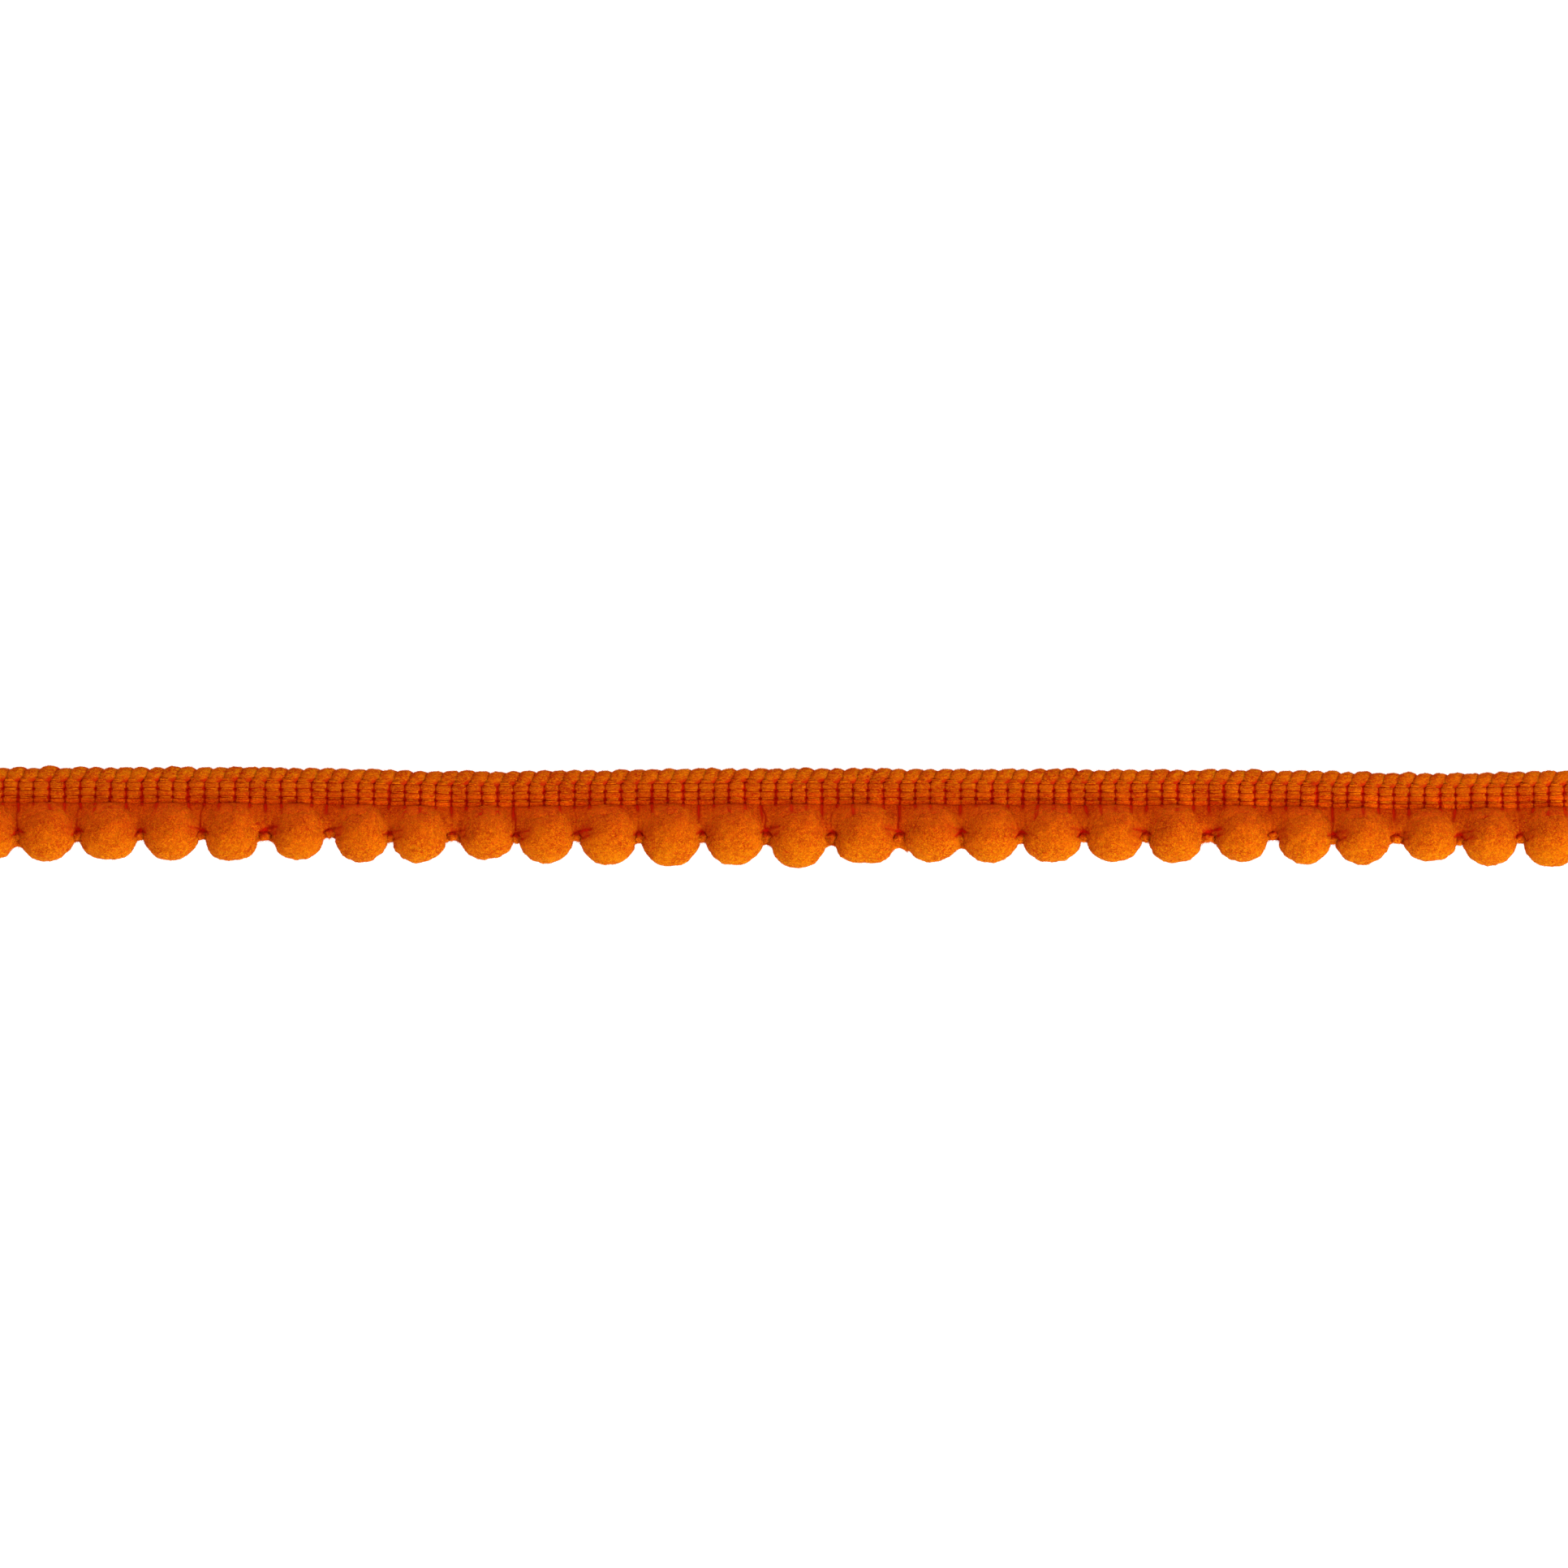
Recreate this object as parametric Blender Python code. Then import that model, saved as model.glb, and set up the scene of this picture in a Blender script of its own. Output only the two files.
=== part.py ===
"""Pompom fringe trim, a cut length lying on a flat surface.

A heading of thick yarn columns, bound crosswise, carries a row of felted balls. The yarn that
leaves the heading's lower edge is brushed into a web, gathered on one binding thread and
fluffed into a ball around it. Metres, +X along the trim, +Y towards the heading, +Z up.
"""
import math
from collections import namedtuple

import bmesh
import bpy
from mathutils import Vector, noise

MM = 0.001
CLEARANCE = 0.3 * MM

# The row of balls
POMPOM_COUNT = 26
POMPOM_PITCH = 6.70 * MM
THREAD_LINE = -1.60 * MM
THREAD_HEIGHT = 2.70 * MM
BALL_AROUND = 16
BALL_DOWN = 10
LUMP_SIZE = 0.14 * MM
LUMPS_ACROSS = 2.2
FLAT_SPOT = 0.12 * MM

# Each ball in a repeat: how far it strays along the trim, half its width, how far it hangs
# below the thread, and how square its outline is (2 is a plain ellipse).
Ball = namedtuple("Ball", "stray half_width drop squareness")
BALL_REPEAT = [
    Ball(0.69 * MM, 2.85 * MM, 3.13 * MM, 2.2),
    Ball(0.35 * MM, 2.72 * MM, 3.28 * MM, 2.0),
    Ball(0.09 * MM, 2.94 * MM, 3.15 * MM, 2.2),
    Ball(0.00 * MM, 2.68 * MM, 3.11 * MM, 2.4),
    Ball(-0.14 * MM, 2.68 * MM, 3.03 * MM, 2.8),
    Ball(0.16 * MM, 2.55 * MM, 2.92 * MM, 2.5),
    Ball(0.24 * MM, 2.59 * MM, 3.09 * MM, 2.2),
    Ball(-0.32 * MM, 2.72 * MM, 3.03 * MM, 2.2),
    Ball(0.07 * MM, 2.68 * MM, 2.58 * MM, 2.4),
    Ball(-0.29 * MM, 2.68 * MM, 3.07 * MM, 2.3),
    Ball(-0.37 * MM, 2.81 * MM, 3.37 * MM, 2.4),
    Ball(-0.33 * MM, 2.94 * MM, 3.57 * MM, 2.4),
    Ball(-0.21 * MM, 3.00 * MM, 3.45 * MM, 2.2),
    Ball(-0.21 * MM, 2.92 * MM, 3.86 * MM, 2.2),
    Ball(0.22 * MM, 3.05 * MM, 3.24 * MM, 3.0),
]

# The brushed web between the heading and each ball
WEB_SQUARENESS = 12.0
WEB_HALF_THICKNESS = 0.62 * MM
WEB_HEIGHT_AT_HEADING = 0.75 * MM
END_REACH = POMPOM_PITCH / 2

# The binding thread, with a knot in each gap between two balls
THREAD_RADIUS = 0.20 * MM
KNOT_RADIUS = 0.36 * MM
KNOT_HALF_LENGTH = 0.22 * MM
KNOT_TAPER = 0.20 * MM
THREAD_TAIL = 0.60 * MM

# The heading
COLUMN_COUNT = 107
COLUMN_PITCH = POMPOM_PITCH * 15 / 61
HEADING_LENGTH = COLUMN_COUNT * COLUMN_PITCH
HEADING_TOP = 5.10 * MM
SCALLOP = 0.28 * MM

# The heading's section from its top edge down: distance below the edge, height at a column's
# crest, height in the groove beside it, and how far the column leans along the trim there.
Row = namedtuple("Row", "down crest groove lean")
HEADING_ROWS = [
    Row(0.00 * MM, 0.55 * MM, 0.35 * MM, 1.15 * MM),
    Row(0.40 * MM, 1.20 * MM, 0.50 * MM, 0.85 * MM),
    Row(0.95 * MM, 1.28 * MM, 0.50 * MM, 0.40 * MM),
    Row(1.47 * MM, 0.90 * MM, 0.60 * MM, 0.00 * MM),
    Row(1.92 * MM, 1.40 * MM, 0.80 * MM, 0.00 * MM),
    Row(2.38 * MM, 0.95 * MM, 0.70 * MM, 0.00 * MM),
    Row(2.83 * MM, 1.40 * MM, 0.80 * MM, 0.00 * MM),
    Row(3.29 * MM, 0.95 * MM, 0.70 * MM, 0.00 * MM),
    Row(3.56 * MM, 1.15 * MM, 0.75 * MM, 0.00 * MM),
    Row(3.80 * MM, 0.55 * MM, 0.45 * MM, 0.00 * MM),
]
HEADING_WIDTH = HEADING_ROWS[-1].down
BALL_RISE = HEADING_TOP - HEADING_WIDTH - CLEARANCE - THREAD_LINE

# How the whole trim strays from a straight line
SLOPE = -0.0021
DIP_PLACES = (-29.9 * MM, 70.6 * MM)
DIP_DEPTH = 0.35 * MM
DIP_REACH = 14.7 * MM

# Colours, roughness
YARN_ORANGE = (0.56, 0.075, 0.002)
BALL_ORANGE = (0.60, 0.085, 0.002)
THREAD_RED = (0.45, 0.030, 0.002)


def sway(x):
    """The trim's sideways stray at a place along it."""
    dips = sum(math.exp(-((x - place) / DIP_REACH) ** 2) for place in DIP_PLACES)
    return SLOPE * x - DIP_DEPTH * dips


def clear_scene():
    """Empty the scene of whatever it starts with."""
    for thing in list(bpy.data.objects):
        bpy.data.objects.remove(thing, do_unlink=True)


def new_collection(name):
    """A collection in the scene."""
    collection = bpy.data.collections.new(name)
    bpy.context.scene.collection.children.link(collection)
    return collection


def yarn_material(name, colour, roughness):
    """A plain dyed yarn."""
    material = bpy.data.materials.new(name)
    material.use_nodes = True
    shader = material.node_tree.nodes["Principled BSDF"]
    shader.inputs["Base Color"].default_value = (*colour, 1)
    shader.inputs["Roughness"].default_value = roughness
    shader.inputs["Metallic"].default_value = 0
    return material


def mesh_object(name, bm, collection):
    """An object from a finished bmesh, shaded smooth but for its sharp edges."""
    mesh = bpy.data.meshes.new(name)
    bmesh.ops.recalc_face_normals(bm, faces=bm.faces)
    bm.to_mesh(mesh)
    bm.free()
    mesh.shade_smooth()
    mesh.set_sharp_from_angle(angle=math.radians(50))
    thing = bpy.data.objects.new(name, mesh)
    collection.objects.link(thing)
    return thing


def heading_surface_point(step, row):
    """A point of the heading's upper face; even steps are grooves, odd steps are crests."""
    is_crest = step % 2 == 1
    from_end = min(step, 2 * COLUMN_COUNT - step)
    lean = row.lean * min(1, from_end / 2)
    x = step * COLUMN_PITCH / 2 - HEADING_LENGTH / 2 + lean
    scallop = 0 if is_crest or row.down > 0 else SCALLOP
    y = sway(x) - row.down - scallop
    return Vector((x, y, row.crest if is_crest else row.groove))


def make_heading(collection):
    """The bound yarn columns as one band: ribbed above, flat below, slanted loops at the top."""
    steps = 2 * COLUMN_COUNT
    rows = len(HEADING_ROWS)
    bm = bmesh.new()
    bmesh.ops.create_grid(bm, x_segments=steps, y_segments=rows - 1, size=1)
    for vertex in bm.verts:
        step = round((vertex.co.x + 1) / 2 * steps)
        row = round((1 - vertex.co.y) / 2 * (rows - 1))
        vertex.co = heading_surface_point(step, HEADING_ROWS[row])
    rim = [edge for edge in bm.edges if edge.is_boundary]
    wall = bmesh.ops.extrude_edge_only(bm, edges=rim)["geom"]
    for vertex in (part for part in wall if isinstance(part, bmesh.types.BMVert)):
        vertex.co.z = 0
    open_rim = [edge for edge in bm.edges if edge.is_boundary]
    bmesh.ops.contextual_create(bm, geom=open_rim)
    heading = mesh_object("heading", bm, collection)
    heading.location = (0, HEADING_TOP, 0)
    return heading


def outline_reach(across, along, half_width, half_length, squareness):
    """How far a squared ellipse reaches from its centre in one direction."""
    total = (abs(across) / half_width) ** squareness + (abs(along) / half_length) ** squareness
    return total ** (-1 / squareness)


def pompom_point(unit, ball, left, right, seed):
    """Where a point of a unit sphere lies on a ball and its share of the web."""
    spread = math.hypot(unit.x, unit.y)
    if spread < 1e-6:
        return Vector((0, 0, math.copysign(THREAD_HEIGHT, unit.z)))
    toward_heading = unit.y > 0.01 * spread
    side = right if unit.x > 0 else left
    aim = Vector((unit.x, unit.y))
    if toward_heading:
        aim = Vector((unit.x * side, unit.y * BALL_RISE))
    across, along = aim.normalized()
    half_length = BALL_RISE if toward_heading else ball.drop
    ball_reach = outline_reach(across, along, ball.half_width, half_length, ball.squareness)
    reach = ball_reach
    web_half = 0
    middle = 0
    if toward_heading:
        reach = max(reach, outline_reach(across, along, side, BALL_RISE, WEB_SQUARENESS))
        web_half = WEB_HALF_THICKNESS * math.sqrt(max(0, 1 - spread ** 6))
        slope = spread * reach * along / BALL_RISE
        middle = (WEB_HEIGHT_AT_HEADING - THREAD_HEIGHT) * slope
    fullness = math.sqrt(max(0, 1 - (spread * reach / ball_reach) ** 2))
    middle *= 1 - fullness
    half = max(THREAD_HEIGHT * fullness, web_half)
    lump = LUMP_SIZE * fullness * noise.noise(unit * LUMPS_ACROSS + Vector((seed, 0, 0)))
    z = middle + math.copysign(half, unit.z) if abs(unit.z) > 1e-6 else middle
    return Vector((across * spread * reach, along * spread * reach, z)) + unit * lump


def settle(point):
    """Rest a point of a ball on the surface where it nearly touches."""
    height = point.z + THREAD_HEIGHT
    if height < FLAT_SPOT:
        point.z = -THREAD_HEIGHT
    return point


def pompom_centres():
    """Where each ball's middle lies along the trim."""
    first = -(POMPOM_COUNT - 1) / 2 * POMPOM_PITCH
    centres = []
    for number in range(POMPOM_COUNT):
        stray = BALL_REPEAT[number % len(BALL_REPEAT)].stray
        centres.append(first + number * POMPOM_PITCH + stray)
    return centres


def gap_places(centres):
    """The middles of the gaps between the balls, with the two outer ends."""
    between = [(a + b) / 2 for a, b in zip(centres, centres[1:])]
    return [centres[0] - END_REACH, *between, centres[-1] + END_REACH]


def make_pompom(number, centres, gaps, cutter, collection):
    """One felted ball with its web, pierced for the thread."""
    ball = BALL_REPEAT[number % len(BALL_REPEAT)]
    centre = centres[number]
    left = centre - gaps[number] - CLEARANCE / 2
    right = gaps[number + 1] - centre - CLEARANCE / 2
    bm = bmesh.new()
    bmesh.ops.create_uvsphere(bm, u_segments=BALL_AROUND, v_segments=BALL_DOWN, radius=1)
    for vertex in bm.verts:
        vertex.co = settle(pompom_point(vertex.co, ball, left, right, 10 * number))
    pompom = mesh_object(f"pompom_{number + 1:02d}", bm, collection)
    pompom.location = (centre, THREAD_LINE + sway(centre), THREAD_HEIGHT)
    tunnel = pompom.modifiers.new("thread tunnel", "BOOLEAN")
    tunnel.operation = "DIFFERENCE"
    tunnel.solver = "EXACT"
    tunnel.object = cutter
    return pompom


def thread_route(gaps, spare):
    """The thread's stations, each a place along the trim and a radius there."""
    stations = [(gaps[0] - THREAD_TAIL - spare, THREAD_RADIUS + spare)]
    for gap in gaps[1:-1]:
        knot_end = KNOT_HALF_LENGTH + spare
        taper_end = knot_end + KNOT_TAPER
        stations.append((gap - taper_end, THREAD_RADIUS + spare))
        stations.append((gap - knot_end, KNOT_RADIUS + spare))
        stations.append((gap + knot_end, KNOT_RADIUS + spare))
        stations.append((gap + taper_end, THREAD_RADIUS + spare))
    stations.append((gaps[-1] + THREAD_TAIL + spare, THREAD_RADIUS + spare))
    return stations


def thread_tube(name, gaps, spare, collection):
    """The binding thread as a round tube, made thicker all over by the spare."""
    stations = thread_route(gaps, spare)
    curve = bpy.data.curves.new(name, "CURVE")
    curve.dimensions = "3D"
    curve.bevel_depth = 1
    curve.bevel_resolution = 2
    curve.use_fill_caps = True
    spline = curve.splines.new("POLY")
    spline.points.add(len(stations) - 1)
    for point, (x, radius) in zip(spline.points, stations):
        point.co = (x, THREAD_LINE + sway(x), THREAD_HEIGHT, 1)
        point.radius = radius
    tube = bpy.data.objects.new(name, curve)
    collection.objects.link(tube)
    return tube


def as_cutter(tube, collection):
    """A tube made a welded mesh that cuts and is never shown."""
    evaluated = tube.evaluated_get(bpy.context.evaluated_depsgraph_get())
    mesh = bpy.data.meshes.new_from_object(evaluated)
    bm = bmesh.new()
    bm.from_mesh(mesh)
    bmesh.ops.remove_doubles(bm, verts=bm.verts, dist=0.001 * MM)
    bmesh.ops.recalc_face_normals(bm, faces=bm.faces)
    bm.to_mesh(mesh)
    bm.free()
    cutter = bpy.data.objects.new(f"{tube.name}_mesh", mesh)
    cutter.matrix_world = tube.matrix_world
    cutter.display_type = "WIRE"
    cutter.hide_render = True
    collection.objects.link(cutter)
    bpy.data.objects.remove(tube, do_unlink=True)
    return cutter


def main():
    """Build the heading, the balls and the thread that gathers them."""
    clear_scene()
    parts = new_collection("pompom_fringe_trim")
    cutters = new_collection("cutters")
    centres = pompom_centres()
    gaps = gap_places(centres)

    heading = make_heading(parts)
    heading.data.materials.append(yarn_material("heading_yarn", YARN_ORANGE, 0.85))

    thread = thread_tube("binding_thread", gaps, 0, parts)
    thread.data.materials.append(yarn_material("binding_thread", THREAD_RED, 0.7))

    cutter = as_cutter(thread_tube("tunnel", gaps, CLEARANCE, cutters), cutters)
    felt = yarn_material("pompom_yarn", BALL_ORANGE, 0.9)
    for number in range(POMPOM_COUNT):
        pompom = make_pompom(number, centres, gaps, cutter, parts)
        pompom.data.materials.append(felt)


main()
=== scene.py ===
# %% [markdown]
# # Pompom fringe trim
#
# The object is a cut length of dressmaker's trim: a heading of thick yarn columns, bound
# crosswise by fine threads, with a row of small felted balls along its lower edge. It lies on
# its back, so the camera looks straight down on it.
#
# The CAD frame holds the real sizes and places. Everything below is modelled around it.

# %% Load the frame
import math
import random

import bmesh
import bpy
from mathutils import Matrix, Vector, geometry, noise


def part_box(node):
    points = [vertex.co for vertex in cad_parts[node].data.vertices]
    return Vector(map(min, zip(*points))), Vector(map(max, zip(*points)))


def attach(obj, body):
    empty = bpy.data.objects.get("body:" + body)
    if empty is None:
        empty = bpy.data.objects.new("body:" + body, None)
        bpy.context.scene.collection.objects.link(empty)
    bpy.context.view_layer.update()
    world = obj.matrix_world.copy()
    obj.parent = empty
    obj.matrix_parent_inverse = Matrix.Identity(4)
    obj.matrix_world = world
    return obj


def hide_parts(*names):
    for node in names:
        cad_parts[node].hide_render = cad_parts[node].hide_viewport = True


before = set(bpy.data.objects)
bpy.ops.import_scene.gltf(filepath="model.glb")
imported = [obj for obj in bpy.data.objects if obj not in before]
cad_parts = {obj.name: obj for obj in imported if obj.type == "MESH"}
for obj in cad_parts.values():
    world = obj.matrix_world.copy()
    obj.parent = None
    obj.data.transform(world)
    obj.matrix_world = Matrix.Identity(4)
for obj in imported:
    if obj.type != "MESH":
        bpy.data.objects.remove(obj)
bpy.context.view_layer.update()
MM = 0.001

# %% [markdown]
# ## The trim's own line
#
# A soft trim never lies dead straight. The whole length slopes a little and dips in two places,
# and every piece has to follow the same line, so the stray is one function that all of them call.

# %% The line that every piece follows
SLOPE = -0.0021
DIP_PLACES = (-29.9 * MM, 70.6 * MM)
DIP_DEPTH = 0.35 * MM
DIP_REACH = 14.7 * MM


def sway(x):
    """How far the trim strays sideways at a place along it."""
    dips = sum(math.exp(-((x - place) / DIP_REACH) ** 2) for place in DIP_PLACES)
    return SLOPE * x - DIP_DEPTH * dips


def smooth(low, high, value):
    """A soft step from 0 at low to 1 at high."""
    share = min(1, max(0, (value - low) / (high - low)))
    return share * share * (3 - 2 * share)


def mix(a, b, share):
    """Part of the way from a to b."""
    return a + (b - a) * share


print("stray at the middle and the ends, mm:", [round(sway(x) / MM, 2) for x in (-0.088, 0, 0.088)])

# %% [markdown]
# ## Camera
#
# The trim is seen square on. A long lens from far away keeps the balls at both ends from
# leaning outwards, as they would close to a short lens.

# %% Camera
VIEW_WIDTH = 167.02 * MM
VIEW_MIDDLE = Vector((1.72 * MM, 3.54 * MM, 2.7 * MM))
LENS_MM = 500
SENSOR_MM = 36

camera = bpy.data.objects.new("camera", bpy.data.cameras.new("camera"))
camera.data.sensor_width = SENSOR_MM
camera.data.lens = LENS_MM
camera_distance = VIEW_WIDTH * LENS_MM / SENSOR_MM
camera.location = VIEW_MIDDLE + Vector((0, 0, camera_distance))
camera.data.clip_start = 0.01
camera.data.clip_end = 20
bpy.context.scene.collection.objects.link(camera)
bpy.context.scene.camera = camera
print(f"camera {camera_distance:.2f} m above the trim")

# %% [markdown]
# ## Floor and light
#
# A white table under a large soft lamp, low in front and to the right, gives each ball a bright
# lower right side. The rest of the light comes from all round, as in a light tent. The table
# glows a little by itself, so that it stays white right up to the yarn.

# %% Floor
FLOOR_SIZE = 8
FLOOR_WHITE = 0.30
FLOOR_GLOW = 0.90


def link(piece):
    """Put an object in the scene."""
    bpy.context.scene.collection.objects.link(piece)
    return piece


def object_from(bm, name, *materials):
    """A smooth shaded object from a finished bmesh."""
    mesh = bpy.data.meshes.new(name)
    bm.to_mesh(mesh)
    bm.free()
    mesh.shade_smooth()
    for material in materials:
        mesh.materials.append(material)
    return link(bpy.data.objects.new(name, mesh))


def dial(node, **values):
    """Set a node's inputs by name, with _ where the name has a space."""
    for name, value in values.items():
        node.inputs[name.replace("_", " ")].default_value = value


table_paint = bpy.data.materials.new("white table")
table_paint.use_nodes = True
dial(
    table_paint.node_tree.nodes["Principled BSDF"],
    Base_Color=(FLOOR_WHITE, FLOOR_WHITE, FLOOR_WHITE, 1),
    Roughness=0.9,
    Specular_IOR_Level=0.1,
    Emission_Color=(1, 1, 1, 1),
    Emission_Strength=FLOOR_GLOW,
)
bm = bmesh.new()
bmesh.ops.create_grid(bm, x_segments=1, y_segments=1, size=FLOOR_SIZE / 2)
floor = object_from(bm, "floor", table_paint)
print("floor is down")

# %% Lamps
LAMP_DIRECTION = Vector((0.64, -0.52, 0.60)).normalized()
LAMP_DISTANCE = 0.9
LAMP_SIZE = 0.45
LAMP_WATTS = 7.4
LAMP_COLOUR = (1.0, 1.2, 1.0)
SKY_STRENGTH = 0.93
SKY_COLOUR = (1.0, 0.78, 0.72)

lamp = bpy.data.objects.new("soft lamp", bpy.data.lights.new("soft lamp", "AREA"))
lamp.data.size = LAMP_SIZE
lamp.data.energy = LAMP_WATTS
lamp.data.color = LAMP_COLOUR
lamp.location = LAMP_DIRECTION * LAMP_DISTANCE
lamp.rotation_euler = LAMP_DIRECTION.to_track_quat("Z", "Y").to_euler()
link(lamp)
sky = bpy.data.worlds.new("light tent")
sky.use_nodes = True
dial(sky.node_tree.nodes["Background"], Color=(*SKY_COLOUR, 1), Strength=SKY_STRENGTH)
bpy.context.scene.world = sky
bpy.context.scene.view_settings.view_transform = "Standard"
print("lamp and sky are set")

# %% [markdown]
# ## Dyed yarn
#
# All the yarn is one orange acrylic. Light sinks into it and comes out redder, which makes the
# creases glow deep red and the lit side turn yellow. A subsurface shader does the same: its
# red light travels far and its green light hardly at all. Each piece also carries a "crease"
# attribute, 1 deep between two yarns and 0 on their crests, which paints the creases red and
# deep red: painted shade, standing in for the red glow of the creases.
#
# An image would give the speckle of the fibres too, but it would need unwrapped pieces. Noise on
# Object coordinates needs none, and it runs on unbroken from one column to the next.

# %% Small steps for material nodes
# A mix node has its colours on inputs 6 and 7 and on output 2. The others are for plain numbers.
COLOUR_A, COLOUR_B, MIXED_COLOUR = 6, 7, 2


def add_node(tree, kind, **settings):
    """A node with its settings."""
    node = tree.nodes.new(kind)
    for name, value in settings.items():
        setattr(node, name, value)
    return node


def colour_mix(tree, factor, first, second):
    """The output of a colour mix between two colours or links."""
    node = add_node(tree, "ShaderNodeMix", data_type="RGBA")
    tree.links.new(factor, node.inputs["Factor"])
    for number, value in ((COLOUR_A, first), (COLOUR_B, second)):
        if isinstance(value, tuple):
            node.inputs[number].default_value = (*value, 1)
        else:
            tree.links.new(value, node.inputs[number])
    return node.outputs[MIXED_COLOUR]


def map_range(tree, value, low, high, top=1):
    """A link's value mapped from a range to 0..top."""
    node = add_node(tree, "ShaderNodeMapRange")
    tree.links.new(value, node.inputs["Value"])
    dial(node, From_Min=low, From_Max=high, To_Max=top)
    return node.outputs["Result"]


def speckle(tree, stretch, size, detail=3, curl=0):
    """A noise of the given grain size, stretched along each axis and curled into squiggles."""
    place = add_node(tree, "ShaderNodeTexCoord")
    scale = add_node(tree, "ShaderNodeMapping")
    dial(scale, Scale=stretch)
    grain = add_node(tree, "ShaderNodeTexNoise")
    dial(grain, Scale=1 / size, Detail=detail, Distortion=curl)
    tree.links.new(place.outputs["Object"], scale.inputs["Vector"])
    tree.links.new(scale.outputs["Vector"], grain.inputs["Vector"])
    return grain.outputs["Fac"]


print("node helpers ready")

# %% A helper for the yarn's materials
FIBRE_CURL = 1.5
CLOUD_SIZE = 2.4 * MM
CLOUD_SHARE = 0.35
# The part of each noise's range over which the dark tone turns into the light one.
FIBRE_RANGE = (0.40, 0.66)
CLOUD_RANGE = (0.3, 0.75)
RELIEF = 0.08 * MM
SINK_DEPTH = 0.7 * MM
SINK_COLOURS = (1.0, 0.12, 0.02)
SHEEN_TINT = (1.0, 0.35, 0.0, 1)
# The painted crease shade turns to the first red down to this depth of a crease, and to the second
# below it.
CREASE_TURN = 0.6
CREASE_SHADE_RED = (0.43, 0.007, 0.0)
DEEP_SHADE_RED = (0.72, 0.006, 0.0)


def with_light_and_shade(tree, tone, light_and_shade_tints):
    """The tone, with painted light and shade tinted in by how far up the trim a point lies."""
    place = add_node(tree, "ShaderNodeTexCoord")
    split = add_node(tree, "ShaderNodeSeparateXYZ")
    tree.links.new(place.outputs["Object"], split.inputs["Vector"])
    tint = light_and_shade_tints[0][1]
    for (low, _), (high, high_tint) in zip(light_and_shade_tints, light_and_shade_tints[1:]):
        share = map_range(tree, split.outputs["Y"], low, high)
        tint = colour_mix(tree, share, tint, high_tint)
    tinted_tone = add_node(tree, "ShaderNodeMix", data_type="RGBA", blend_type="MULTIPLY")
    dial(tinted_tone, Factor=1)
    tree.links.new(tone, tinted_tone.inputs[COLOUR_A])
    tree.links.new(tint, tinted_tone.inputs[COLOUR_B])
    return tinted_tone.outputs[MIXED_COLOUR]


def yarn_material(name, dark, light, grain, stretch, bump, sinking, light_and_shade_tints=None):
    """Dyed yarn: fine speckle between two tones, painted shade of deep red in the creases, soft
    inside.

    The last argument lists places across the trim, from the balls towards the loops, with the
    tint of painted light and shade that multiplies the dye at each.
    """
    material = bpy.data.materials.new(name)
    material.use_nodes = True
    tree = material.node_tree
    shader = tree.nodes["Principled BSDF"]
    fine = speckle(tree, stretch, grain, curl=FIBRE_CURL)
    tone = colour_mix(tree, map_range(tree, fine, *FIBRE_RANGE), dark, light)
    cloud = speckle(tree, (1, 1, 1), CLOUD_SIZE, 1)
    tone = colour_mix(tree, map_range(tree, cloud, *CLOUD_RANGE, CLOUD_SHARE), tone, light)
    # Painted light and shade, tinted by how far up the trim a point lies.
    if light_and_shade_tints:
        tone = with_light_and_shade(tree, tone, light_and_shade_tints)
    crease = add_node(tree, "ShaderNodeAttribute", attribute_name="crease")
    depth = crease.outputs["Fac"]
    # Painted shade: the creases turn red, and deep red where they are deepest.
    tone = colour_mix(tree, map_range(tree, depth, 0, CREASE_TURN), tone, CREASE_SHADE_RED)
    tone = colour_mix(tree, map_range(tree, depth, CREASE_TURN, 1), tone, DEEP_SHADE_RED)
    tree.links.new(tone, shader.inputs["Base Color"])
    relief = add_node(tree, "ShaderNodeBump")
    dial(relief, Strength=bump, Distance=RELIEF)
    tree.links.new(fine, relief.inputs["Height"])
    tree.links.new(relief.outputs["Normal"], shader.inputs["Normal"])
    dial(shader, Roughness=0.9, Specular_IOR_Level=0.05)
    dial(shader, Sheen_Weight=0.12, Sheen_Roughness=0.6, Sheen_Tint=SHEEN_TINT)
    dial(shader, Subsurface_Weight=sinking, Subsurface_Radius=SINK_COLOURS)
    dial(shader, Subsurface_Scale=SINK_DEPTH)
    return material


print("a crease turns red down to", CREASE_TURN, "of its depth and deep red below it")

# %% The yarn's materials
# The heading is painted redder and lighter along its lower edge, next to the web, where the
# balls shade it, and yellower along the loops: both painted light. The balls are painted
# yellowest at the bottom, as painted light, and redder towards the heading, as painted shade.
heading_yarn = yarn_material(
    "heading yarn", (0.42, 0.014, 0.0), (0.80, 0.165, 0.0),
    grain=0.24 * MM, stretch=(0.55, 1.3, 1), bump=1.0, sinking=0.5,
    light_and_shade_tints=(
        (1.5 * MM, (1.28, 1.0, 1)), (2.9 * MM, (0.85, 0.90, 1)),
        (4.2 * MM, (0.83, 0.92, 1)), (5.0 * MM, (0.80, 1.30, 1)),
    ),
)
felt = yarn_material(
    "felted yarn", (0.42, 0.015, 0.0), (0.80, 0.135, 0.0),
    grain=0.26 * MM, stretch=(1, 1, 1), bump=1.0, sinking=0.5,
    light_and_shade_tints=((-4.8 * MM, (0.93, 1.75, 1)), (1.2 * MM, (0.94, 0.78, 1))),
)
fine_thread = yarn_material(
    "binding thread", (0.58, 0.036, 0.0), (0.98, 0.225, 0.0),
    grain=0.20 * MM, stretch=(0.5, 1, 1), bump=0.2, sinking=0.3,
)
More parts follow.
